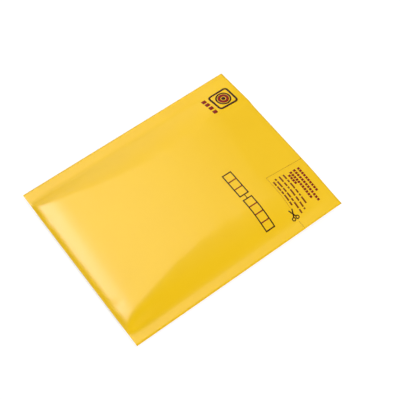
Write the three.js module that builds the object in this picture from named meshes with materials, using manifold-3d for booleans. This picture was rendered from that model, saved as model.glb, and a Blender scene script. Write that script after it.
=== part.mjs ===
// Padded mailing envelope, lying face up with its flap open and its pocket filled out.
// One sheet of paper is folded at the bottom and glued along both sides, so it makes a pocket
// with flat seams. A folded sheet of bubble film pads the pocket. The front panel runs on past
// the mouth as the flap, which carries a sealing strip under a release paper.
//
// Millimetres. X runs across the envelope, +Y towards the mouth and the flap, +Z up.
// The origin is the middle of the rectangle that the envelope covers, on the surface it lies on.

import * as THREE from "three";
import { mergeVertices } from "three/addons/utils/BufferGeometryUtils.js";
import Module from "manifold-3d";

const wasm = await Module();
wasm.setup();

// The envelope's outline
const envelopeWidth = 210;
const pocketLength = 221; // bottom fold to the flap's crease
const flapLength = 46;
const mouthSetback = 3; // the back panel stops this far below the crease
const seamWidth = 11; // glued margin along each side

// Its layers, from the outside in
const paperThickness = 0.4;
const layerGap = 0.3; // air between two layers that aren't glued
const filmThickness = 3; // bubble film, over its bubbles
const filmSetback = 1.5; // the film stops this far inside the mouth
const filmEdgeInset = 3; // the film's side edge stands off the seam

// How far the pocket stands open
const pocketSpace = 11.2; // clear height between the two layers of film
const foldSpace = 0.6; // air left between the two layers of film at the bottom fold
const pressedSlit = 0.3; // air left where the two layers of film are pressed together

// The shape of the filled-out pocket
const riseLength = 92; // from the bottom fold to the full height
const footShoulder = 9; // width of the side slope at the bottom fold
const fullShoulder = 38; // width of the side slope where the pocket is full
const backShoulder = 24; // width of the curve between the flat back and a seam
const seamRise = 4.4; // a seam climbs this much from the bottom fold to the flap's corner
const flapDrop = 6.4; // the flap falls this much from the crease to the middle of its edge
const foldRoundness = 0.94; // share of the half-round fold that is kept before its flat edge

// The sealing strip under the flap
const stripWidth = 12;
const stripThickness = 0.3;
const stripEdgeInset = 6; // from the flap's edge
const stripEndInset = 6; // from the flap's sides
const releaseOverhang = 2; // the release paper stands past the strip all round
const releaseThickness = 0.3;

// Steps of the faceted surfaces
const foldSteps = 5;
const riseSteps = 8;
const plateauSteps = 7;
const flapSteps = 6;
const shoulderSteps = 5;
const levelSteps = 3;
const stripSteps = 2;

const totalLength = pocketLength + flapLength;
const backLength = pocketLength - mouthSetback;
const halfWidth = envelopeWidth / 2;
const halfPocket = halfWidth - seamWidth; // middle to a seam's inner edge
const halfFilm = halfPocket - filmEdgeInset;
const halfSpace = halfFilm - filmEdgeInset; // middle to where the film is pressed together
const wallThickness = paperThickness + layerGap + filmThickness;
const foldRadius = wallThickness + foldSpace / 2;
const fullHeight = 2 * wallThickness + pocketSpace;
const stripHalfSpan = halfWidth - stripEndInset;
const releaseHalfSpan = stripHalfSpan + releaseOverhang;

const clampShare = (value) => Math.min(1, Math.max(0, value));
const mix = (a, b, share) => a + (b - a) * share;

// A slope that starts steep and runs out level: 0 at the foot, 1 where it is level.
const shoulder = (share) => 1 - (1 - clampShare(share)) ** 2;

// Height of the glue line between the two papers of a seam.
const seamHeight = (y) => foldRadius + (seamRise * y) / totalLength;

// Height of the outer face along the middle of the front panel, past the bottom fold.
const crownHeight = (y) => {
  const share = clampShare((y - foldRadius) / riseLength);
  return mix(2 * foldRadius, fullHeight, 1 - (1 - share) ** 3);
};

// Width of the side slope of the front panel.
const shoulderWidth = (y) =>
  mix(footShoulder, fullShoulder, clampShare((y - foldRadius) / riseLength));

// Share of its full distance from the glue line that a panel has reached at y in the round fold.
const foldShare = (y, inset) => {
  const share = clampShare((y - inset) / (foldRadius - inset));
  return Math.sqrt(1 - ((1 - share) * foldRoundness) ** 2);
};

// Height of the face that lies inset millimetres inside the front panel's outer face.
const frontHeight = (x, y, inset) => {
  const seamTop = seamHeight(y) + paperThickness;
  const slope = shoulder((halfPocket - Math.abs(x)) / shoulderWidth(y));
  const open = mix(seamTop, crownHeight(y), slope) - inset;
  return mix(seamHeight(y), open, foldShare(y, inset));
};

// Height of the face that lies inset millimetres inside the back panel's outer face.
const backHeight = (x, y, inset) => {
  const seamUnderside = seamHeight(y) - paperThickness;
  const slope = shoulder((halfPocket - Math.abs(x)) / backShoulder);
  const open = mix(seamUnderside, 0, slope) + inset;
  return mix(seamHeight(y), open, foldShare(y, inset));
};

// Height of the flap's outer face: straight lines run from the crease to the flap's edge.
const flapHeight = (x, y) => {
  const cornerHeight = seamHeight(totalLength) + paperThickness;
  const edgeMiddle = fullHeight - flapDrop;
  const edgeHeight = mix(edgeMiddle, cornerHeight, (x / halfWidth) ** 2);
  return mix(frontHeight(x, pocketLength, 0), edgeHeight, (y - pocketLength) / flapLength);
};

// Height of the whole front face, panel and flap.
const faceHeight = (x, y, inset) =>
  y <= pocketLength ? frontHeight(x, y, inset) : flapHeight(x, y) - inset;

// Values from a to b in equal steps, without a.
const stepsTo = (a, b, count) =>
  Array.from({ length: count }, (_, i) => mix(a, b, (i + 1) / count));

// Lines across the envelope, closer together on the side slopes, out to halfSpan each way.
// Every layer takes its lines from this one list, so the layers' facets lie parallel.
const linesAcross = (halfSpan) => {
  const levelHalf = halfPocket - fullShoulder;
  const right = [
    ...stepsTo(0, levelHalf, levelSteps),
    ...stepsTo(levelHalf, halfSpace, shoulderSteps),
    halfFilm,
    halfPocket,
    stripHalfSpan,
    releaseHalfSpan,
    halfWidth,
  ].filter((x) => x <= halfSpan);
  return [...right.map((x) => -x).reverse(), 0, ...right];
};

// Lines along the pocket from the inset fold to end, closer together where it curves.
const linesAlong = (inset, end) => {
  const fold = stepsTo(0, 1, foldSteps).map((share) =>
    mix(inset, foldRadius, 1 - Math.cos((share * Math.PI) / 2)),
  );
  const rise = stepsTo(0, 1, riseSteps).map((share) =>
    mix(foldRadius, foldRadius + riseLength, share ** 1.6),
  );
  return [inset, ...fold, ...rise, ...stepsTo(foldRadius + riseLength, end, plateauSteps)];
};

// A box whose top and bottom faces are drawn to two height functions over a grid of lines.
const heightBlock = (xs, ys, top, bottom) => {
  const box = new THREE.BoxGeometry(1, 1, 1, xs.length - 1, ys.length - 1, 1);
  const points = box.getAttribute("position");
  for (let i = 0; i < points.count; i++) {
    const x = xs[Math.round((points.getX(i) + 0.5) * (xs.length - 1))];
    const y = ys[Math.round((points.getY(i) + 0.5) * (ys.length - 1))];
    points.setXYZ(i, x, y, points.getZ(i) > 0 ? top(x, y) : bottom(x, y));
  }
  return box;
};

const solidFrom = (geometry) => {
  const bare = geometry.clone();
  bare.deleteAttribute("normal");
  bare.deleteAttribute("uv");
  const merged = mergeVertices(bare, 1e-4);
  return new wasm.Manifold(
    new wasm.Mesh({
      numProp: 3,
      vertProperties: new Float32Array(merged.getAttribute("position").array),
      triVerts: new Uint32Array(merged.index.array),
    }),
  );
};

const geometryFrom = (solid) => {
  const mesh = solid.getMesh();
  const geometry = new THREE.BufferGeometry();
  geometry.setAttribute("position", new THREE.BufferAttribute(mesh.vertProperties, 3));
  geometry.setIndex(new THREE.BufferAttribute(mesh.triVerts, 1));
  geometry.computeVertexNormals();
  return geometry;
};

// The folded and glued paper: a pocket with flat side seams, and the flap past its mouth.
const paperCover = () => {
  const across = linesAcross(halfWidth);
  const along = linesAlong(0, backLength);
  const pack = heightBlock(
    across,
    along,
    (x, y) => frontHeight(x, y, 0),
    (x, y) => backHeight(x, y, 0),
  );
  const inside = heightBlock(
    linesAcross(halfPocket),
    [...linesAlong(paperThickness, backLength), pocketLength],
    (x, y) => frontHeight(x, y, paperThickness),
    (x, y) => backHeight(x, y, paperThickness),
  );
  const flap = heightBlock(
    across,
    [
      ...along.slice(-2),
      pocketLength,
      ...stepsTo(pocketLength, totalLength, flapSteps),
    ],
    (x, y) => faceHeight(x, y, 0),
    (x, y) => faceHeight(x, y, paperThickness),
  );
  return geometryFrom(solidFrom(pack).subtract(solidFrom(inside)).add(solidFrom(flap)));
};

// The bubble film, folded at the bottom and pressed thin at its side edges.
const bubbleLining = () => {
  const outerInset = paperThickness + layerGap;
  const mouthEnd = backLength - filmSetback;
  const film = heightBlock(
    linesAcross(halfFilm),
    linesAlong(outerInset, mouthEnd),
    (x, y) => frontHeight(x, y, outerInset),
    (x, y) => backHeight(x, y, outerInset),
  );
  const space = heightBlock(
    linesAcross(halfSpace),
    [...linesAlong(wallThickness, mouthEnd), pocketLength],
    (x, y) =>
      Math.max(frontHeight(x, y, wallThickness), seamHeight(y) + pressedSlit / 2),
    (x, y) =>
      Math.min(backHeight(x, y, wallThickness), seamHeight(y) - pressedSlit / 2),
  );
  return geometryFrom(solidFrom(film).subtract(solidFrom(space)));
};

// A strip that follows the underside of the flap, depth millimetres below the flap's outer face.
const flapStrip = (depth, thickness, overhang) => {
  const outerEdge = totalLength - stripEdgeInset + overhang;
  const innerEdge = outerEdge - stripWidth - 2 * overhang;
  return heightBlock(
    linesAcross(stripHalfSpan + overhang),
    [innerEdge, ...stepsTo(innerEdge, outerEdge, stripSteps)],
    (x, y) => faceHeight(x, y, depth),
    (x, y) => faceHeight(x, y, depth + thickness),
  );
};

const sealingStrip = () =>
  flapStrip(paperThickness + layerGap, stripThickness, 0);

const releasePaper = () =>
  flapStrip(
    paperThickness + stripThickness + 2 * layerGap,
    releaseThickness,
    releaseOverhang,
  );

const glossyYellowPaper = new THREE.MeshStandardMaterial({
  color: 0xf5c700,
  roughness: 0.45,
  metalness: 0,
});
const clearBubbleFilm = new THREE.MeshStandardMaterial({
  color: 0xe9ecec,
  roughness: 0.2,
  metalness: 0,
});
const hotMeltGlue = new THREE.MeshStandardMaterial({
  color: 0xe8dfb4,
  roughness: 0.3,
  metalness: 0,
});
const siliconePaper = new THREE.MeshStandardMaterial({
  color: 0xf4f2ea,
  roughness: 0.35,
  metalness: 0,
});

const named = (name, geometry, material) => {
  const mesh = new THREE.Mesh(geometry, material);
  mesh.name = name;
  return mesh;
};

const envelope = new THREE.Group();
envelope.add(
  named("paper_cover", paperCover(), glossyYellowPaper),
  named("bubble_lining", bubbleLining(), clearBubbleFilm),
  named("sealing_strip", sealingStrip(), hotMeltGlue),
  named("release_paper", releasePaper(), siliconePaper),
);
envelope.children.forEach((mesh) => mesh.position.set(0, -totalLength / 2, 0));

export default envelope;
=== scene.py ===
"""Padded mailing envelope of glossy yellow paper, lying face up with its flap open.

The paper is one sheet, folded at the bottom and glued along both sides. A folded sheet of bubble
film pads the pocket, and a sealing strip under release paper runs along the flap. Sizes are in
millimetres unless a name says otherwise. Places on the envelope are given across from its middle
and up from its bottom fold, with the front face up.
"""

import logging
import math
from dataclasses import dataclass
from enum import Enum
from typing import Any, Callable, NamedTuple

import bmesh
import bpy
from mathutils import Matrix, Vector


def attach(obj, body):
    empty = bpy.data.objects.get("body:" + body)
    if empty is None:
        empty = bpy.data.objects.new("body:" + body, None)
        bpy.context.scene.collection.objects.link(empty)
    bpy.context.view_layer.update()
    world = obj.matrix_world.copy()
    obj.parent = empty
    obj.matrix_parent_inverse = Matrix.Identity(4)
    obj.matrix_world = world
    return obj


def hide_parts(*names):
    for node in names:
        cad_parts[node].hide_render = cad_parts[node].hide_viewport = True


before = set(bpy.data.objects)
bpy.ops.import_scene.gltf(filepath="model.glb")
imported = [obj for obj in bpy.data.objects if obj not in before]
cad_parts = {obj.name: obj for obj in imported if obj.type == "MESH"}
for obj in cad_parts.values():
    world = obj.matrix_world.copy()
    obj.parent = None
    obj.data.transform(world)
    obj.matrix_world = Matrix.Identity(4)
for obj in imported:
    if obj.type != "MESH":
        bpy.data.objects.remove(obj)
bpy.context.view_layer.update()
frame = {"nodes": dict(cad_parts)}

log = logging.getLogger("envelope")

MM = 0.001
HALF_TOTAL = 133.5  # the frame's origin lies this far up the envelope from its bottom fold
BUBBLE_PITCH = 11.5  # from one bubble of the film to the next
ROW_SHARE = math.cos(math.radians(30))  # from one row of bubbles to the next, in pitches
WAVE_PERIOD = math.pi / 10  # length of one wave of the wave texture at scale 1
TINY = 1e-6

SRGB_KNEE = 0.04045
SRGB_SLOPE = 12.92
SRGB_OFFSET = 0.055
SRGB_POWER = 2.4

Spot = tuple[float, float]
Triple = tuple[float, float, float]
Place = Callable[[float, float], Vector]
Socket = bpy.types.NodeSocket
BMesh = bmesh.types.BMesh


def linear(colour: str) -> tuple[float, float, float, float]:
    """Turn an sRGB hex colour into linear light.

    Args:
        colour: six hex digits after a hash.

    Returns:
        Red, green, blue and an alpha of 1.
    """
    light = []
    for i in (1, 3, 5):
        part = int(colour[i : i + 2], 16) / 255
        if part <= SRGB_KNEE:
            light.append(part / SRGB_SLOPE)
        else:
            light.append(((part + SRGB_OFFSET) / (1 + SRGB_OFFSET)) ** SRGB_POWER)
    return (light[0], light[1], light[2], 1.0)


def mix(a: float, b: float, share: float) -> float:
    """Go the given share of the way from a to b."""
    return a + (b - a) * share


def clamp(value: float) -> float:
    """Keep a value between 0 and 1."""
    return min(1.0, max(0.0, value))


def smooth(value: float) -> float:
    """Ease a share in and out, so that it starts and ends level."""
    t = clamp(value)
    return t * t * (3 - 2 * t)


def ease_out(value: float, power: int = 2) -> float:
    """Raise a share steeply at first, so that it ends level."""
    return 1 - (1 - clamp(value)) ** power


def quarter_round(value: float) -> float:
    """Raise a share along a quarter of a circle, upright at its start."""
    return math.sqrt(ease_out(value))


def steps(a: float, b: float, pitch: float) -> list[float]:
    """Divide a stretch evenly.

    Args:
        a: where it starts.
        b: where it ends.
        pitch: the largest step.

    Returns:
        The values from a to b, both included.
    """
    count = max(1, math.ceil(abs(b - a) / pitch))
    return [mix(a, b, i / count) for i in range(count + 1)]


def join_steps(*runs: list[float]) -> list[float]:
    """Chain runs of values that share their end points into one list."""
    chained = list(runs[0])
    for run in runs[1:]:
        chained.extend(run[1:])
    return chained


class Shows(Enum):
    """What a lamp shows in: the colour of a finish, or its gloss."""

    IN_DYE = "dye"
    IN_GLOSS = "gloss"


class Ray(Enum):
    """The kinds of ray that a surface can answer to."""

    CAMERA = "Is Camera Ray"
    GLOSSY = "Is Glossy Ray"
    TRANSMISSION = "Is Transmission Ray"


class Noise(NamedTuple):
    """Noise in a finish: the width of its patches, its finer layers and their strength."""

    size: float
    detail: float
    roughness: float = 0.5


class Relief(NamedTuple):
    """Relief of a finish: how much of it shows, and how far it stands up."""

    strength: float
    height: float


class NodeGraph:
    """The shader nodes of a material or a world."""

    def __init__(self, owner: bpy.types.Material | bpy.types.World) -> None:
        """Start with no nodes.

        Args:
            owner: the material or world that the nodes belong to.
        """
        owner.use_nodes = True
        self.owner = owner
        self.tree = owner.node_tree
        self.tree.nodes.clear()

    @classmethod
    def for_material(cls, name: str) -> "NodeGraph":
        """Start the nodes of a new material."""
        return cls(bpy.data.materials.new(name))

    def add(
        self, kind: str, values: dict | None = None, links: dict | None = None, **settings: Any
    ) -> bpy.types.Node:
        """Add a shader node with its settings and links.

        Args:
            kind: the node's type.
            values: socket name or number to value.
            links: socket name or number to the output that feeds it.
            **settings: properties of the node itself.

        Returns:
            The new node.
        """
        node = self.tree.nodes.new(kind)
        for name, setting in settings.items():
            setattr(node, name, setting)
        for name, value in (values or {}).items():
            node.inputs[name].default_value = value
        for name, output in (links or {}).items():
            self.tree.links.new(output, node.inputs[name])
        return node

    def where(self, **changes: Triple) -> Socket:
        """Give the object's own coordinates, in metres.

        Args:
            **changes: the Rotation or Scale that turns or stretches them.

        Returns:
            The coordinates.
        """
        where = self.add("ShaderNodeTexCoord").outputs["Object"]
        if not changes:
            return where
        return self.add("ShaderNodeMapping", changes, {"Vector": where}).outputs["Vector"]

    def noise(self, noise: Noise, **changes: Triple) -> Socket:
        """Add noise over the object's own coordinates.

        Args:
            noise: what it is like.
            **changes: the Rotation or Scale of the coordinates.

        Returns:
            A value about one half, from 0 to 1.
        """
        scale = 1 / (noise.size * MM)
        values = {"Scale": scale, "Detail": noise.detail, "Roughness": noise.roughness}
        links = {"Vector": self.where(**changes)}
        return self.add("ShaderNodeTexNoise", values, links).outputs["Fac"]

    def remap(self, value: Socket, source: Spot, target: Spot) -> Socket:
        """Stretch a range of values over another.

        Args:
            value: the value.
            source: the ends of its range.
            target: what they become.

        Returns:
            The new value, kept inside the target.
        """
        names = ("From Min", "From Max", "To Min", "To Max")
        ends = dict(zip(names, (*source, *target)))
        return self.add("ShaderNodeMapRange", ends, {"Value": value}).outputs["Result"]

    def combine(self, a: Socket, b: Socket, operation: str) -> Socket:
        """Work out a value from two others by a math node's operation."""
        return self.add("ShaderNodeMath", None, {0: a, 1: b}, operation=operation).outputs["Value"]

    def mix_colours(self, share: Socket, first: str, second: str) -> Socket:
        """Go from one colour to another.

        Args:
            share: 0 for the first colour, 1 for the second.
            first: its hex colour.
            second: its hex colour.

        Returns:
            The mixed colour.
        """
        values = {6: linear(first), 7: linear(second)}
        return self.add("ShaderNodeMix", values, {0: share}, data_type="RGBA").outputs[2]

    def relief(self, height: Socket, relief: Relief, under: Socket | None = None) -> Socket:
        """Shade a surface as if it stood up in places.

        Args:
            height: where it stands up.
            relief: how far it does.
            under: the relief that this one lies on.

        Returns:
            The direction that the surface faces.
        """
        links = {"Height": height, "Normal": under} if under else {"Height": height}
        values = {"Strength": relief.strength, "Distance": relief.height * MM}
        return self.add("ShaderNodeBump", values, links).outputs["Normal"]

    def any_ray(self, *rays: Ray) -> Socket:
        """Give 1 where the ray is of one of these kinds, and 0 elsewhere."""
        path = self.add("ShaderNodeLightPath")
        seen = path.outputs[rays[0].value]
        for ray in rays[1:]:
            seen = self.combine(seen, path.outputs[ray.value], "MAXIMUM")
        return seen

    def principled(self, values: dict, links: dict) -> bpy.types.Material:
        """Close a material with a principled shader.

        Args:
            values: what is the same all over.
            links: what the other nodes feed.

        Returns:
            The finished material.
        """
        shader = self.add("ShaderNodeBsdfPrincipled", values, links)
        return self.close(shader.outputs["BSDF"])

    def close(
        self, shader: Socket, output: str = "ShaderNodeOutputMaterial"
    ) -> bpy.types.Material | bpy.types.World:
        """Link a shader to the output, and give what the nodes belong to."""
        self.add(output, None, {"Surface": shader})
        return self.owner


@dataclass(frozen=True)
class CalenderedPaper:
    """Calendered yellow kraft: dyed, pressed smooth, with a broad satin sheen and faint fibres."""

    name: str = "calendered_yellow_paper"
    colour: str = "#F5C606"
    cloudy_colour: str = "#F2C104"
    ior: float = 1.5
    gloss: float = 0.25
    roughness: float = 0.34
    roughness_spread: float = 0.04
    clouds: Noise = Noise(38.0, 3.0, 0.55)
    fibres: Noise = Noise(0.9, 4.0, 0.6)
    fibre_range: Spot = (0.3, 0.7)
    fibre_relief: Relief = Relief(0.25, 0.02)
    bubble_relief: Relief = Relief(1.0, 0.012)

    def build(self) -> bpy.types.Material:
        """Make the material.

        Returns:
            Paper whose dye clouds gently, with fibres and the film's bubbles pressed through.
        """
        graph = NodeGraph.for_material(self.name)
        clouds = graph.noise(self.clouds)
        fibres = graph.noise(self.fibres)
        smoothest = self.roughness - self.roughness_spread
        roughest = self.roughness + self.roughness_spread
        fibre_relief = graph.relief(fibres, self.fibre_relief)
        relief = graph.relief(self.bubble_print(graph), self.bubble_relief, fibre_relief)
        return graph.principled(
            {"IOR": self.ior, "Specular IOR Level": self.gloss},
            {
                "Base Color": graph.mix_colours(clouds, self.colour, self.cloudy_colour),
                "Roughness": graph.remap(fibres, self.fibre_range, (smoothest, roughest)),
                "Normal": relief,
            },
        )

    @staticmethod
    def bubble_print(graph: NodeGraph) -> Socket:
        """Draw the lattice of bubbles that shows through as low bumps.

        Args:
            graph: the material's nodes.

        Returns:
            A value that is high over each bubble.
        """
        values = {"Scale": WAVE_PERIOD / (BUBBLE_PITCH * MM * ROW_SHARE), "Distortion": 0.0}
        waves = []
        for degrees in (0, 60, 120):
            links = {"Vector": graph.where(Rotation=(0.0, 0.0, math.radians(degrees)))}
            wave = graph.add("ShaderNodeTexWave", values, links, bands_direction="Y")
            waves.append(wave.outputs["Fac"])
        return graph.combine(graph.combine(waves[0], waves[1], "ADD"), waves[2], "ADD")


@dataclass(frozen=True)
class LetterpressInk:
    """Letterpress ink on glossy paper: thin and slightly matt, a little uneven in its cover."""

    name: str
    colour: str
    worn_colour: str
    ior: float = 1.5
    gloss: float = 0.15
    roughness: float = 0.5
    mottle: Noise = Noise(0.8, 2.0)
    mottle_range: Spot = (0.5, 0.8)
    most_worn: float = 0.4

    def build(self) -> bpy.types.Material:
        """Make the material.

        Returns:
            Ink that lets a little of the paper through in specks.
        """
        graph = NodeGraph.for_material(self.name)
        worn = graph.remap(graph.noise(self.mottle), self.mottle_range, (0.0, self.most_worn))
        return graph.principled(
            {"IOR": self.ior, "Roughness": self.roughness, "Specular IOR Level": self.gloss},
            {"Base Color": graph.mix_colours(worn, self.colour, self.worn_colour)},
        )


@dataclass(frozen=True)
class PolyethyleneFilm:
    """Blown polyethylene film: clear but faintly milky, soft gloss, with fine draw lines."""

    name: str = "polyethylene_bubble_film"
    colour: str = "#EEF1F1"
    ior: float = 1.51
    roughness: float = 0.18
    clearness: float = 0.82
    lines: Noise = Noise(1.6, 3.0)
    line_squeeze: Triple = (1.0, 0.12, 1.0)
    line_relief: Relief = Relief(0.25, 0.05)

    def build(self) -> bpy.types.Material:
        """Make the material.

        Returns:
            Thin clear film with a little milkiness and a wavy gloss.
        """
        graph = NodeGraph.for_material(self.name)
        lines = graph.noise(self.lines, Scale=self.line_squeeze)
        return graph.principled(
            {
                "Base Color": linear(self.colour),
                "IOR": self.ior,
                "Roughness": self.roughness,
                "Transmission Weight": self.clearness,
            },
            {"Normal": graph.relief(lines, self.line_relief)},
        )


@dataclass(frozen=True)
class HotMeltGlue:
    """Hot melt adhesive, slot coated: amber tinted, wet looking, with slight ribs along it."""

    name: str = "hot_melt_glue"
    colour: str = "#E6D9A4"
    ior: float = 1.49
    roughness: float = 0.22
    ribs: Noise = Noise(0.8, 2.0)
    rib_squeeze: Triple = (0.05, 1.0, 1.0)
    rib_relief: Relief = Relief(0.3, 0.05)

    def build(self) -> bpy.types.Material:
        """Make the material.

        Returns:
            Glossy glue with the coating slot's faint ribs.
        """
        graph = NodeGraph.for_material(self.name)
        ribs = graph.noise(self.ribs, Scale=self.rib_squeeze)
        return graph.principled(
            {"Base Color": linear(self.colour), "IOR": self.ior, "Roughness": self.roughness},
            {"Normal": graph.relief(ribs, self.rib_relief)},
        )


@dataclass(frozen=True)
class SiliconePaper:
    """Silicone coated glassine: off-white, dense and slippery, with a cloudy formation."""

    name: str = "silicone_release_paper"
    colour: str = "#F5F3EA"
    cloudy_colour: str = "#E9E6DA"
    ior: float = 1.45
    roughness: float = 0.33
    clouds: Noise = Noise(4.0, 5.0, 0.6)

    def build(self) -> bpy.types.Material:
        """Make the material.

        Returns:
            Smooth paper with a fine cloudy look.
        """
        graph = NodeGraph.for_material(self.name)
        clouds = graph.noise(self.clouds)
        return graph.principled(
            {"IOR": self.ior, "Roughness": self.roughness},
            {"Base Color": graph.mix_colours(clouds, self.colour, self.cloudy_colour)},
        )


@dataclass(frozen=True)
class StudioWhite:
    """White studio sweep: lit to white for the lens, with a share left matt to take shadow."""

    name: str = "studio_white"
    colour: str = "#F4F4F4"
    lit_share: float = 0.76
    lit_strength: float = 1.12
    # Painted contact shade: how far the occlusion looks, and the occlusion over which the white
    # glow gives way.
    contact_reach: float = 2.2
    contact_range: Spot = (0.4, 0.9)
    contact_samples: int = 8

    def build(self) -> bpy.types.Material:
        """Make the material.

        Returns:
            A floor that the lens sees near white, and darker beside what stands on it by painted
            contact shade.
        """
        graph = NodeGraph.for_material(self.name)
        seen = graph.any_ray(Ray.CAMERA, Ray.GLOSSY, Ray.TRANSMISSION)
        # Painted contact shade: ambient occlusion takes the white glow away right beside the
        # envelope, so the matt share's real shadow shows there at full depth.
        contact_shade = graph.add(
            "ShaderNodeAmbientOcclusion",
            {"Distance": self.contact_reach * MM},
            samples=self.contact_samples,
        )
        clear = graph.remap(contact_shade.outputs["AO"], self.contact_range, (0.0, self.lit_share))
        share = graph.combine(seen, clear, "MULTIPLY")
        matt = graph.add("ShaderNodeBsdfDiffuse", {"Color": linear(self.colour)})
        lit = graph.add("ShaderNodeEmission", {"Strength": self.lit_strength})
        both = graph.add(
            "ShaderNodeMixShader",
            None,
            {0: share, 1: matt.outputs["BSDF"], 2: lit.outputs["Emission"]},
        )
        return graph.close(both.outputs["Shader"])


@dataclass(frozen=True)
class Puckers:
    """Shallow waves from the seams into the side slopes, each the sum of two wave lengths."""

    height: float = 0.16
    wave_length: float = 31.0
    reach: float = 1.4  # how far in from a seam they end, in widths of the side slope
    lean: float = 0.25  # how much earlier a wave comes for each millimetre across
    second_share: float = 0.6
    second_rate: float = 0.57
    second_lag: float = 1.1
    right_lag: float = 1.7  # so that the right side differs from the left
    foot_clear: float = 6.0
    foot_fade: float = 40.0
    mouth_fade: float = 30.0

    def rise(self, x: float, y: float, inward: float, to_mouth: float) -> float:
        """How far the paper stands up from its smooth shape.

        Args:
            x: across, from the middle.
            y: up from the bottom fold.
            inward: distance in from the seam, in widths of the side slope.
            to_mouth: distance that is left up to the mouth.

        Returns:
            The height, which is negative in a hollow.
        """
        if inward <= 0 or inward >= self.reach:
            return 0.0
        fade = math.sin(math.pi * inward / self.reach) ** 2
        ends = smooth((y - self.foot_clear) / self.foot_fade) * smooth(to_mouth / self.mouth_fade)
        turn = 2 * math.pi * (y + self.lean * abs(x)) / self.wave_length
        lag = self.right_lag if x > 0 else 0.0
        first = math.sin(turn + lag)
        second = math.sin(self.second_rate * turn + self.second_lag + 2 * lag)
        wave = (first + self.second_share * second) / (1 + self.second_share)
        return self.height * fade * ends * wave


class Buckle(NamedTuple):
    """A small dent in the bottom fold: its middle across, its width and its depth."""

    at: float
    wide: float
    deep: float


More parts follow.
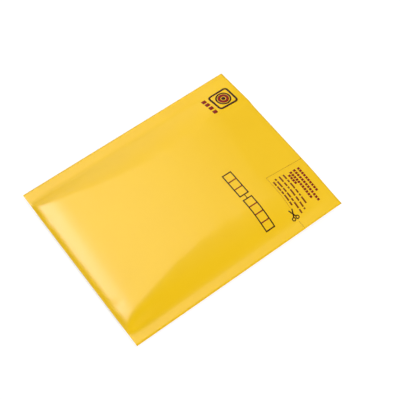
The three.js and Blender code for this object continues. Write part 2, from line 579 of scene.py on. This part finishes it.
@dataclass
class EnvelopeForm:
    """The folded sheet's sizes, and where each point of it lies."""

    width: float = 210.0
    pocket_length: float = 221.0
    flap_length: float = 46.0
    mouth_setback: float = 3.0
    seam_width: float = 11.0
    paper: float = 0.4
    gap: float = 0.3
    film: float = 3.0
    film_setback: float = 1.5
    film_inset: float = 3.0
    pocket_space: float = 11.2
    fold_space: float = 0.6
    nose: float = 7.0
    nose_share: float = 0.18
    shoulder: float = 40.0
    shoulder_share: float = 0.42
    pinch: float = 0.8
    rise_length: float = 150.0
    mouth_sag: float = 1.2
    sag_from: float = 165.0
    side_foot: float = 6.0
    foot_slope: float = 30.0
    side_slope: float = 46.0
    slope_growth: float = 90.0
    hip_sharpness: float = 4.6
    back_shoulder: float = 24.0
    seam_rise: float = 4.4
    flap_drop: float = 6.4
    flap_fall: float = 62.0
    flap_ridge: float = -57.0
    ridge_height: float = 1.1
    ridge_width: float = 14.0
    bend_left: float = 223.5
    bend_right: float = 213.5
    bend_shift_from: float = -60.0
    bend_shift_length: float = 100.0
    bend_softness: float = 1.8
    bend_reach: float = 12.0  # in softnesses, how far below the bend it shows
    buckles: tuple[Buckle, ...] = (
        Buckle(-58.0, 7.0, 0.5),
        Buckle(60.0, 6.0, 0.45),
        Buckle(-14.0, 12.0, 0.2),
    )
    buckle_height: float = 7.0
    buckle_length: float = 6.0
    buckle_fade: float = 3.0
    relief_growth: float = 4.0
    film_stand_off: float = 0.15
    probe: float = 0.5
    puckers: Puckers = Puckers()

    def __post_init__(self) -> None:
        """Work out the sizes that follow from the others."""
        self.total = self.pocket_length + self.flap_length
        self.back_length = self.pocket_length - self.mouth_setback
        self.half = self.width / 2
        self.half_pocket = self.half - self.seam_width
        self.half_film = self.half_pocket - self.film_inset
        self.wall = self.paper + self.gap + self.film
        self.fold = self.wall + self.fold_space / 2
        self.full_height = 2 * self.wall + self.pocket_space

    def seam(self, y: float) -> float:
        """Height of the glue line between the two papers of a seam."""
        return self.fold + self.seam_rise * y / self.total

    def pinched(self, y: float) -> float:
        """How far the outer face stands off the glue line, less where the sheet is creased."""
        return self.paper * quarter_round(y / self.pinch)

    def end_profile(self, y: float) -> float:
        """Share of the full bulge that the panel's middle has.

        Args:
            y: up from the bottom fold.

        Returns:
            A tight roll, a round shoulder and a long rise, added up, less the sag at the mouth.
        """
        roll = quarter_round(y / self.nose)
        shoulder = ease_out(y / self.shoulder, 3)
        rise = ease_out(y / self.rise_length)
        long_share = 1 - self.nose_share - self.shoulder_share
        sag = clamp((y - self.sag_from) / (self.pocket_length - self.sag_from)) ** 2
        bulge = self.nose_share * roll + self.shoulder_share * shoulder + long_share * rise
        return bulge - sag * self.mouth_sag / self.pocket_space

    def side_profile(self, inward: float, y: float) -> float:
        """Share of the full bulge that the panel has near a seam.

        Args:
            inward: distance from the seam's inner edge.
            y: up from the bottom fold.

        Returns:
            A slope with a soft foot, which grows wider from the bottom fold up.
        """
        slope = mix(self.foot_slope, self.side_slope, smooth(y / self.slope_growth))
        eased = math.hypot(max(inward, 0.0), self.side_foot) - self.side_foot
        return ease_out(eased / (slope - self.side_foot))

    def buckling(self, x: float, y: float) -> float:
        """How far the paper sinks where the thick bottom fold bends.

        Args:
            x: across, from the middle.
            y: up from the bottom fold.

        Returns:
            The depth, as a negative height.
        """
        depth = 0.0
        for buckle in self.buckles:
            across = (x - buckle.at) / buckle.wide
            up = (y - self.buckle_height) / self.buckle_length
            depth += buckle.deep * math.exp(-(across**2) - up**2)
        return -depth * clamp(y / self.buckle_fade)

    def front(self, x: float, y: float) -> float:
        """Height of the front panel's outer face.

        Args:
            x: across, from the middle.
            y: up from the bottom fold.

        Returns:
            The height above what the envelope lies on.
        """
        inward = self.half_pocket - abs(x)
        power = self.hip_sharpness
        short_side = 1 - self.side_profile(inward, y)
        short_end = 1 - self.end_profile(y)
        bulge = 1 - min(1.0, (short_side**power + short_end**power) ** (1 / power))
        height = (self.full_height - self.paper - self.seam(y)) * bulge
        puckers = self.puckers.rise(x, y, inward / self.side_slope, self.pocket_length - y)
        relief = (puckers + self.buckling(x, y)) * min(1.0, self.relief_growth * bulge)
        return self.seam(y) + self.pinched(y) + height + relief

    def back(self, x: float, y: float) -> float:
        """Height of the back panel's outer face.

        Args:
            x: across, from the middle.
            y: up from the bottom fold.

        Returns:
            The height above what the envelope lies on.
        """
        foot = self.seam(y) - self.pinched(y)
        share = ease_out((self.half_pocket - abs(x)) / self.back_shoulder)
        return mix(foot, 0.0, share * quarter_round(y / self.fold))

    def bend(self, x: float) -> float:
        """Where the front face bends down into the flap, up from the bottom fold."""
        shift = smooth((x - self.bend_shift_from) / self.bend_shift_length)
        return mix(self.bend_left, self.bend_right, shift)

    def flap_edge(self, x: float) -> float:
        """Height of the flap's edge.

        Args:
            x: across, from the middle.

        Returns:
            A height that is low at both corners, with a low ridge left of the middle.
        """
        corner = self.seam(self.total) + self.paper
        middle = self.full_height - self.flap_drop
        if x < self.flap_ridge:
            share = (x + self.half) / (self.flap_ridge + self.half)
            return mix(corner, middle + self.ridge_height, share)
        ridge = self.ridge_height * (1 - smooth((x - self.flap_ridge) / self.ridge_width))
        return mix(corner, middle, smooth((self.half - x) / self.flap_fall)) + ridge

    def face(self, x: float, y: float) -> float:
        """Height of the whole front face, panel and flap.

        Args:
            x: across, from the middle.
            y: up from the bottom fold.

        Returns:
            The height above what the envelope lies on.
        """
        panel = self.front(x, y)
        past = (y - self.bend(x)) / self.bend_softness
        if past < -self.bend_reach:
            return panel
        run = self.bend_softness * (math.log1p(math.exp(-abs(past))) + max(past, 0.0))
        share = run / (self.total - self.bend(x))
        return mix(panel, self.flap_edge(x), min(1.0, share))

    def outer(self, x: float, along: float) -> Vector:
        """Place a point of the sheet's outer face.

        Args:
            x: across, from the middle.
            along: along the sheet from the bottom fold, negative on the back panel.

        Returns:
            The point, in millimetres.
        """
        nose = self.nose if along >= 0 else self.fold
        y = abs(along)
        if y < nose:
            y = nose * (1 - math.cos(y / nose * math.pi / 2))
        return Vector((x, y, self.face(x, y) if along >= 0 else self.back(x, y)))

    def point(self, x: float, along: float, depth: float = 0.0) -> Vector:
        """Place a point of the folded sheet, or of what lies inside it.

        Args:
            x: across, from the middle.
            along: along the sheet from the bottom fold, negative on the back panel.
            depth: distance in from the outer face.

        Returns:
            The point in the frame, in metres.
        """
        at = self.outer(x, along)
        if depth:
            reach = self.probe
            across = self.outer(x + reach, along) - self.outer(x - reach, along)
            lengthwise = self.outer(x, along + reach) - self.outer(x, along - reach)
            at = at - across.cross(lengthwise).normalized() * depth
            glue = self.seam(at.y)
            if depth > self.paper + self.gap and at.y < self.back_length:
                if along > 0:
                    at.z = max(at.z, glue + self.film_stand_off)
                else:
                    at.z = min(at.z, glue - self.film_stand_off)
        return Vector((at.x, at.y - HALF_TOTAL, at.z)) * MM

    def on_face(self, x: float, y: float, lift: float) -> Vector:
        """Place a point of the print, lift millimetres above the front face."""
        return Vector((x, y - HALF_TOTAL, self.face(x, y) + lift)) * MM


def grid(xs: list[float], ys: list[float], place: Place) -> BMesh:
    """Make a grid over two lists of lines and place its points.

    Args:
        xs: the lines across.
        ys: the lines along.
        place: gives the point for a pair of lines.

    Returns:
        The placed grid, with its faces up while it's flat.
    """
    bm = bmesh.new()
    bmesh.ops.create_grid(bm, x_segments=len(xs) - 1, y_segments=len(ys) - 1, size=1.0)
    for v in bm.verts:
        column = round((v.co.x + 1) / 2 * (len(xs) - 1))
        row = round((v.co.y + 1) / 2 * (len(ys) - 1))
        v.co = place(xs[column], ys[row])
    return bm


def new_mesh(name: str, bm: BMesh) -> bpy.types.Mesh:
    """Turn a bmesh into a mesh, and free it."""
    mesh = bpy.data.meshes.new(name)
    bm.to_mesh(mesh)
    bm.free()
    return mesh


def link_new(name: str, data: bpy.types.ID) -> bpy.types.Object:
    """Put a new object with this mesh, lamp or camera in the scene."""
    made = bpy.data.objects.new(name, data)
    bpy.context.scene.collection.objects.link(made)
    return made


def finish_piece(
    bm: BMesh,
    name: str,
    material: bpy.types.Material,
    replaces: tuple[str, ...] = (),
    thickness: float = 0.0,
) -> None:
    """Turn a bmesh into a piece that rides on the envelope.

    Args:
        bm: the mesh, already in place.
        name: the piece's name.
        material: its finish.
        replaces: the solids that it stands for.
        thickness: how far it is thickened inwards, or 0 for none.
    """
    mesh = new_mesh(name, bm)
    mesh.shade_smooth()
    mesh.materials.append(material)
    piece = link_new(name, mesh)
    if thickness:
        wall = piece.modifiers.new("wall", "SOLIDIFY")
        wall.thickness = thickness * MM
        wall.offset = -1.0
    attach(piece, "root")
    if replaces:
        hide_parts(*replaces)
    log.info("%s: %d faces", name, len(mesh.polygons))


@dataclass
class PaperCover:
    """The yellow sheet: back panel, bottom fold, front panel and flap."""

    form: EnvelopeForm
    pitch: float = 2.4
    back_fold_steps: int = 9
    front_fold_steps: int = 18
    finish: CalenderedPaper = CalenderedPaper()

    def lines_across(self) -> list[float]:
        """Lines across the sheet, with one on each seam's inner edge."""
        form = self.form
        return join_steps(
            steps(-form.half, -form.half_pocket, self.pitch),
            steps(-form.half_pocket, form.half_pocket, self.pitch),
            steps(form.half_pocket, form.half, self.pitch),
        )

    def lines_along(self) -> list[float]:
        """Lines along the sheet, close together round the fold, with one on the crease."""
        form = self.form
        return join_steps(
            steps(-form.back_length, -form.fold, self.pitch),
            steps(-form.fold, 0.0, form.fold / self.back_fold_steps),
            steps(0.0, form.nose, form.nose / self.front_fold_steps),
            steps(form.nose, form.pocket_length, self.pitch),
            steps(form.pocket_length, form.total, self.pitch),
        )

    def build(self) -> None:
        """Fold the sheet and give it its thickness."""
        finish_piece(
            grid(self.lines_across(), self.lines_along(), self.form.point),
            "folded_paper",
            self.finish.build(),
            ("paper_cover",),
            self.form.paper,
        )


@dataclass
class BubbleLining:
    """The clear film with its rows of bubbles, folded inside the paper."""

    form: EnvelopeForm
    pitch: float = 4.0
    back_fold_steps: int = 7
    front_fold_steps: int = 10
    film_gauge: float = 0.12
    bubble_radius: float = 5.0
    bubble_height: float = 2.6
    edge_clear: float = 1.0
    layer_clear: float = 0.3
    fullness: float = 0.8  # power under 1, which swells a dome of a half ball
    rings: int = 3
    sectors: int = 10
    finish: PolyethyleneFilm = PolyethyleneFilm()

    def __post_init__(self) -> None:
        """Work out how deep the film's backing lies under the paper, and where it ends."""
        self.backing = self.form.paper + self.form.gap + self.film_gauge
        self.end = self.form.back_length - self.form.film_setback

    def build(self) -> None:
        """Make the backing sheet and its bubbles."""
        form = self.form
        along = join_steps(
            steps(-self.end, -form.fold, self.pitch),
            steps(-form.fold, 0.0, form.fold / self.back_fold_steps),
            steps(0.0, form.nose, form.nose / self.front_fold_steps),
            steps(form.nose, self.end, self.pitch),
        )
        sheet = grid(
            steps(-form.half_film, form.half_film, self.pitch),
            along,
            lambda x, s: form.point(x, s, self.backing),
        )
        film = self.finish.build()
        finish_piece(
            sheet, "film_backing", film, ("bubble_lining",), self.film_gauge
        )
        finish_piece(self.bubbles(), "film_bubbles", film)

    def lattice(self) -> list[Spot]:
        """Find the middles of the bubbles, across and along the sheet."""
        row_pitch = BUBBLE_PITCH * ROW_SHARE
        reach = self.form.half_film - self.bubble_radius - self.edge_clear
        rows = int((self.end - self.bubble_radius) / row_pitch)
        middles = []
        for row in range(-rows, rows + 1):
            odd = row % 2
            shift = BUBBLE_PITCH / 2 * odd
            count = int((reach - shift) / BUBBLE_PITCH)
            for column in range(-count - odd, count + 1):
                middles.append((column * BUBBLE_PITCH + shift, row * row_pitch))
        return middles

    def dome(self) -> bpy.types.Mesh:
        """Make one dome of unit size, open at its foot."""
        bm = bmesh.new()
        bmesh.ops.create_uvsphere(
            bm, u_segments=self.sectors, v_segments=2 * self.rings, radius=1.0
        )
        lower = [v for v in bm.verts if v.co.z < -TINY]
        bmesh.ops.delete(bm, geom=lower, context="VERTS")
        return new_mesh("dome", bm)

    def bubbles(self) -> BMesh:
        """Set a dome at each point of the film's lattice.

        Returns:
            All the domes in one mesh.
        """
        dome = self.dome()
        bm = bmesh.new()
        middles = self.lattice()
        for _ in middles:
            bm.from_mesh(dome)
        each = len(dome.vertices)
        for i, v in enumerate(bm.verts):
            x, along = middles[i // each]
            v.co = self.swollen(v.co, x, along)
        return bm

    def swollen(self, unit: Vector, x: float, along: float) -> Vector:
        """Place a point of a dome, lower where the two layers of film meet.

        Args:
            unit: the point on the dome of unit size.
            x: the dome's middle, across.
            along: the dome's middle, along the sheet.

        Returns:
            The point in the frame, in metres.
        """
        form = self.form
        foot = self.backing + self.film_gauge
        middle = form.point(x, along, foot)
        y = middle.y / MM + HALF_TOTAL
        room = abs(middle.z / MM - form.seam(y)) - self.layer_clear
        height = min(self.bubble_height, room)
        turn = math.atan2(unit.y, unit.x)
        out = self.bubble_radius * math.hypot(unit.x, unit.y) ** self.fullness
        depth = foot + height * max(0.0, unit.z) ** self.fullness
        return form.point(x + out * math.cos(turn), along + out * math.sin(turn), depth)


@dataclass
class FlapSeal:
    """The sealing strip under the flap, and the release paper over it."""

    form: EnvelopeForm
    strip_width: float = 12.0
    edge_inset: float = 6.0
    end_inset: float = 6.0
    overhang: float = 2.0
    strip_clear: float = 0.05
    strip_gauge: float = 0.3
    release_clear: float = 0.1
    release_gauge: float = 0.15
    pitch: float = 3.0
    glue: HotMeltGlue = HotMeltGlue()
    release: SiliconePaper = SiliconePaper()

    def strip(self, depth: float, overhang: float) -> BMesh:
        """Lay a strip along the flap's underside.

        Args:
            depth: its upper face, in from the flap's outer face.
            overhang: how far it stands past the sealing strip.

        Returns:
            The strip as an open sheet.
        """
        form = self.form
        reach = form.half - self.end_inset + overhang
        outer = form.total - self.edge_inset + overhang
        inner = outer - self.strip_width - 2 * overhang
        return grid(
            steps(-reach, reach, self.pitch),
            steps(inner, outer, self.pitch),
            lambda x, s: form.point(x, s, depth),
        )

    def build(self) -> None:
        """Make the glue and the release paper, each under what carries it."""
        glue_top = self.form.paper + self.strip_clear
        release_top = glue_top + self.strip_gauge + self.release_clear
        finish_piece(
            self.strip(glue_top, 0.0),
            "flap_glue",
            self.glue.build(),
            ("sealing_strip",),
            self.strip_gauge,
        )
        finish_piece(
            self.strip(release_top, self.overhang),
            "flap_release_paper",
            self.release.build(),
            ("release_paper",),
            self.release_gauge,
        )


class Box(NamedTuple):
    """A rectangle of the print."""

    left: float
    bottom: float
    right: float
    top: float


class Ring(NamedTuple):
    """A round ring of the print: its outer radius, and its line's width measured inwards."""

    radius: float
    line: float


class Row(NamedTuple):
    """A row of the print: its middle line, and where it starts and ends."""

    y: float
    left: float
    right: float


class Sketch:
    """Flat shapes of the print, drawn before they are laid on the paper."""

    ring_sides: int = 28
    frame_sides: int = 32

    def __init__(self) -> None:
        """Start with nothing drawn."""
        self.bm = bmesh.new()

    def bar(self, box: Box) -> list[bmesh.types.BMVert]:
        """Add a filled rectangle, and give its corner points."""
        made = bmesh.ops.create_grid(self.bm, x_segments=1, y_segments=1, size=0.5)
        for v in made["verts"]:
            x = mix(box.left, box.right, v.co.x + 0.5)
            y = mix(box.bottom, box.top, v.co.y + 0.5)
            v.co = Vector((x, y, 0))
        return made["verts"]

    def stroke(self, a: Vector, b: Vector, wide: float) -> None:
        """Add a straight stroke from a to b."""
        along = b - a
        made = bmesh.ops.create_grid(self.bm, x_segments=1, y_segments=1, size=0.5)
        turn = Matrix.Rotation(math.atan2(along.y, along.x), 4, "Z")
        scale = Matrix.Diagonal((along.length, wide, 1, 1))
        place = Matrix.Translation((a + b) / 2) @ turn @ scale
        bmesh.ops.transform(self.bm, matrix=place, verts=made["verts"])

    def hollow(self, verts: list[bmesh.types.BMVert], line: float) -> None:
        """Leave only a line of the given width round the inside of a flat face."""
        face = verts[0].link_faces[0]
        bmesh.ops.inset_region(
            self.bm, faces=[face], thickness=line, use_even_offset=True, use_boundary=True
        )
        bmesh.ops.delete(self.bm, geom=[face], context="FACES")

    def ring(self, middle: Spot, ring: Ring) -> None:
        """Add a round ring, or a disc where its line is as wide as its radius."""
        made = bmesh.ops.create_circle(
            self.bm, cap_ends=True, segments=self.ring_sides, radius=ring.radius
        )
        bmesh.ops.translate(self.bm, verts=made["verts"], vec=(*middle, 0))
        if ring.line < ring.radius:
            self.hollow(made["verts"], ring.line)

    def rounded_frame(self, box: Box, corner: float, line: float) -> None:
        """Add a frame with round corners.

        Args:
            box: its outside.
            corner: the corners' radius.
            line: the line's width.
        """
        made = bmesh.ops.create_circle(
            self.bm, cap_ends=True, segments=self.frame_sides, radius=corner
        )
        spin = Matrix.Rotation(math.pi / self.frame_sides, 3, "Z")
        bmesh.ops.rotate(self.bm, verts=made["verts"], cent=(0, 0, 0), matrix=spin)
        for v in made["verts"]:
            x = box.right - corner if v.co.x > 0 else box.left + corner
            y = box.top - corner if v.co.y > 0 else box.bottom + corner
            v.co += Vector((x, y, 0))
        self.hollow(made["verts"], line)


class Ink(Enum):
    """The inks of the print."""

    MAROON_BLACK = LetterpressInk("maroon_black_ink", "#340A02", "#561C04")
    BRICK_RED = LetterpressInk("brick_red_ink", "#861002", "#9E2C04")
    UMBER = LetterpressInk("umber_ink", "#7C3203", "#A86008")
    ORANGE_BROWN = LetterpressInk("orange_brown_ink", "#B4720C", "#D09A08")


@dataclass
class Press:
    """The press, which lays flat sketches on the front face in ink."""

    form: EnvelopeForm
    lift: float = 0.05
    ink_gauge: float = 0.1
    longest_edge: float = 3.0

    def __post_init__(self) -> None:
        """Mix the inks."""
        self.inks = {ink: ink.value.build() for ink in Ink}

    def lay(self, sketch: Sketch, name: str, ink: Ink) -> None:
        """Wrap a sketch onto the front face.

        Args:
            sketch: the flat shapes.
            name: the piece's name.
            ink: what it is printed in.
        """
        bm = sketch.bm
        while long := [e for e in bm.edges if e.calc_length() > self.longest_edge]:
            bmesh.ops.subdivide_edges(bm, edges=long, cuts=1, use_grid_fill=True)
        for v in bm.verts:
            v.co = self.form.on_face(v.co.x, v.co.y, self.lift)
        finish_piece(bm, name, self.inks[ink], (), self.ink_gauge)


@dataclass
class PostcodeBoxes:
    """Two runs of boxes that take the postcode, and the bar that links them."""

    press: Press
    line: float = 1.35
    runs: tuple[Box, ...] = (Box(7.7, 179.5, 39.5, 191.7), Box(43.8, 179.5, 85.1, 191.7))
    counts: tuple[int, ...] = (3, 4)
    link: Box = Box(39.5, 185.3, 43.8, 186.2)

    def build(self) -> None:
        """Print the frames and their dividers."""
        frames = Sketch()
        dividers = Sketch()
        for run, count in zip(self.runs, self.counts):
            frames.hollow(frames.bar(run), self.line)
            for i in range(1, count):
                left = mix(run.left, run.right, i / count) - self.line / 2
                low = run.bottom + self.line
                dividers.bar(Box(left, low, left + self.line, run.top - self.line))
        frames.bar(self.link)
        self.press.lay(frames, "postcode_frames", Ink.MAROON_BLACK)
        self.press.lay(dividers, "postcode_dividers", Ink.BRICK_RED)


@dataclass
class CornerMark:
    """The mark on the flap: plain rings in a square frame, with four blocks below."""

    press: Press
    frame: Box = Box(-86.6, 231.5, -61.4, 258.5)
    frame_corner: float = 4.6
    frame_line: float = 2.4
    middle: Spot = (-74.0, 245.4)
    dark_rings: tuple[Ring, ...] = (Ring(9.2, 1.9), Ring(2.4, 2.4))
    red_ring: Ring = Ring(6.6, 3.4)
    blocks_at: tuple[float, ...] = (-83.5, -77.2, -70.3, -63.3)
    block_width: float = 4.8
    block_bottom: float = 222.9
    block_top: float = 228.1

    def build(self) -> None:
        """Print the mark."""
        dark = Sketch()
        dark.rounded_frame(self.frame, self.frame_corner, self.frame_line)
        for ring in self.dark_rings:
            dark.ring(self.middle, ring)
        self.press.lay(dark, "corner_mark_brown", Ink.MAROON_BLACK)
        red = Sketch()
        red.ring(self.middle, self.red_ring)
        half = self.block_width / 2
        for x in self.blocks_at:
            red.bar(Box(x - half, self.block_bottom, x + half, self.block_top))
        self.press.lay(red, "corner_mark_red", Ink.BRICK_RED)


@dataclass
class Notice:
    """The notice on the flap, as rows of plain dots and dashes."""

    press: Press
    dot_rows: tuple[Row, ...] = (
        Row(255.0, 45.0, 79.0),
        Row(249.5, 44.6, 88.4),
        Row(244.5, 44.8, 84.7),
        Row(240.7, 47.0, 60.0),
    )
    dot_width: float = 2.6
    dot_height: float = 2.9
    dot_pitch: float = 3.4
    dash_rows: tuple[Row, ...] = (
        Row(235.6, 43.5, 84.3),
        Row(230.4, 42.9, 87.5),
        Row(225.0, 42.8, 91.0),
        Row(220.8, 44.8, 77.0),
    )
    dash_lengths: tuple[float, ...] = (6.2, 3.4, 7.6, 4.8, 2.6, 8.4, 5.4)
    dash_height: float = 1.9
    dash_gap: float = 1.3
    shortest_dash: float = 1.0
    row_shift: int = 2  # how many lengths further on in the list the next row starts

    def dots(self) -> Sketch:
        """Draw the rows of dots."""
        sketch = Sketch()
        half = self.dot_height / 2
        for row in self.dot_rows:
            x = row.left
            while x + self.dot_width <= row.right:
                sketch.bar(Box(x, row.y - half, x + self.dot_width, row.y + half))
                x += self.dot_pitch
        return sketch

    def dashes(self) -> Sketch:
        """Draw the rows of dashes, whose lengths repeat in the order of the list."""
        sketch = Sketch()
        half = self.dash_height / 2
        for number, row in enumerate(self.dash_rows):
            x = row.left
            turn = number * self.row_shift
            while x < row.right - self.shortest_dash:
                end = min(row.right, x + self.dash_lengths[turn % len(self.dash_lengths)])
                sketch.bar(Box(x, row.y - half, end, row.y + half))
                x = end + self.dash_gap
                turn += 1
        return sketch

    def build(self) -> None:
        """Print the notice."""
        self.press.lay(self.dots(), "notice_dots", Ink.BRICK_RED)
        self.press.lay(self.dashes(), "notice_dashes", Ink.UMBER)


@dataclass
class CutLine:
    """The line along which the flap is cut open, with a pair of scissors on it."""

    press: Press
    runs: tuple[tuple[Spot, Spot], ...] = (
        ((37.9, 266.0), (36.8, 217.6)),
        ((36.8, 217.6), (79.0, 217.2)),
        ((94.5, 216.6), (104.0, 216.4)),
    )
    dash: float = 1.6
    dash_pitch: float = 2.1
    dash_width: float = 0.5
    blades: tuple[tuple[Spot, Spot], ...] = (
        ((79.8, 218.2), (88.2, 214.4)),
        ((79.8, 213.6), (88.2, 217.4)),
    )
    blade_width: float = 1.4
    handles: tuple[Spot, ...] = ((89.8, 213.5), (89.6, 218.3))
    handle: Ring = Ring(2.3, 1.2)

    def dashes(self) -> Sketch:
        """Draw the dashed line."""
        sketch = Sketch()
        for start, finish in self.runs:
            a = Vector(start).to_3d()
            b = Vector(finish).to_3d()
            length = (b - a).length
            way = (b - a) / length
            at = 0.0
            while at < length:
                end = min(length, at + self.dash)
                sketch.stroke(a + way * at, a + way * end, self.dash_width)
                at += self.dash_pitch
        return sketch

    def scissors(self) -> Sketch:
        """Draw the scissors."""
        sketch = Sketch()
        for start, finish in self.blades:
            sketch.stroke(Vector(start).to_3d(), Vector(finish).to_3d(), self.blade_width)
        for middle in self.handles:
            sketch.ring(middle, self.handle)
        return sketch

    def build(self) -> None:
        """Print the line and the scissors."""
        self.press.lay(self.dashes(), "cut_line", Ink.ORANGE_BROWN)
        self.press.lay(self.scissors(), "cut_line_scissors", Ink.MAROON_BLACK)


@dataclass(frozen=True)
class Lamp:
    """A soft square lamp that faces the envelope, with its place and its side in metres."""

    name: str
    at: Triple
    side: float
    watts: float
    shows: Shows

    def hang(self) -> None:
        """Put the lamp in the scene."""
        data = bpy.data.lights.new(self.name, "AREA")
        data.size = self.side
        data.energy = self.watts
        lamp = link_new(self.name, data)
        turn = Vector(self.at).to_track_quat("Z", "Y").to_matrix().to_4x4()
        lamp.matrix_world = Matrix.Translation(self.at) @ turn
        lamp.visible_diffuse = self.shows is Shows.IN_DYE
        lamp.visible_glossy = self.shows is Shows.IN_GLOSS


@dataclass
class Studio:
    """The camera, the lamps and the white sweep."""

    camera_at: Triple = (0.390220, -0.303916, 0.905037)
    right: Triple = (0.602717, 0.797436, 0.028781)
    up: Triple = (-0.707480, 0.517350, 0.481478)
    back: Triple = (0.369058, -0.310557, 0.875986)
    lens: float = 86.62
    sensor: float = 36.0
    sight_metres: float = 20.0
    lamps: tuple[Lamp, ...] = (
        Lamp("overhead", (0.0, 0.56, 1.05), 1.2, 8.8, Shows.IN_DYE),
        Lamp("left_fill", (-1.2, 0.0, 0.45), 0.8, 6.8, Shows.IN_DYE),
        Lamp("right_fill", (1.2, 0.0, 0.45), 0.8, 5.2, Shows.IN_DYE),
        Lamp("front_fill", (0.3, -1.2, 0.42), 0.8, 5.4, Shows.IN_DYE),
        Lamp("sheen", (-0.66, -0.66, 1.06), 0.75, 34.0, Shows.IN_GLOSS),
        Lamp("wide_sheen", (-0.60, 0.05, 1.28), 0.85, 11.5, Shows.IN_GLOSS),
        Lamp("left_sheen", (-1.15, 0.35, 0.62), 0.9, 5.0, Shows.IN_GLOSS),
    )
    fill_strength: float = 0.24
    floor_reach_metres: float = 6.0
    floor_drop: float = 0.2

    def camera(self) -> None:
        """Set the camera at the photograph's viewing angle."""
        data = bpy.data.cameras.new("camera")
        data.lens = self.lens
        data.sensor_width = self.sensor
        data.clip_end = self.sight_metres
        camera = link_new("camera", data)
        turn = Matrix((self.right, self.up, self.back)).transposed().to_4x4()
        camera.matrix_world = Matrix.Translation(self.camera_at) @ turn
        bpy.context.scene.camera = camera

    def floor(self) -> None:
        """Lay the white sweep."""
        bm = bmesh.new()
        bmesh.ops.create_grid(bm, x_segments=1, y_segments=1, size=self.floor_reach_metres)
        bmesh.ops.translate(bm, verts=bm.verts, vec=(0, 0, -self.floor_drop * MM))
        mesh = new_mesh("floor", bm)
        mesh.materials.append(StudioWhite().build())
        link_new("floor", mesh)

    def world(self) -> None:
        """Fill the room with even light, and show it white behind the object."""
        graph = NodeGraph(bpy.data.worlds.new("room"))
        seen = graph.any_ray(Ray.CAMERA, Ray.TRANSMISSION)
        light = graph.add(
            "ShaderNodeBackground",
            {"Color": (1.0, 1.0, 1.0, 1.0)},
            {"Strength": graph.remap(seen, (0.0, 1.0), (self.fill_strength, 1.0))},
        )
        room = graph.close(light.outputs["Background"], "ShaderNodeOutputWorld")
        bpy.context.scene.world = room

    def build(self) -> None:
        """Set up everything that isn't the object."""
        self.camera()
        for lamp in self.lamps:
            lamp.hang()
        self.floor()
        self.world()
        bpy.context.scene.view_settings.view_transform = "Standard"


def main() -> None:
    """Build the studio and the envelope, piece by piece."""
    logging.basicConfig(level=logging.INFO, format="%(name)s %(message)s")
    log.info("dressing %d solids", len(frame["nodes"]))
    Studio().build()
    form = EnvelopeForm()
    PaperCover(form).build()
    BubbleLining(form).build()
    FlapSeal(form).build()
    press = Press(form)
    PostcodeBoxes(press).build()
    CornerMark(press).build()
    Notice(press).build()
    CutLine(press).build()


if __name__ == "__main__":
    main()
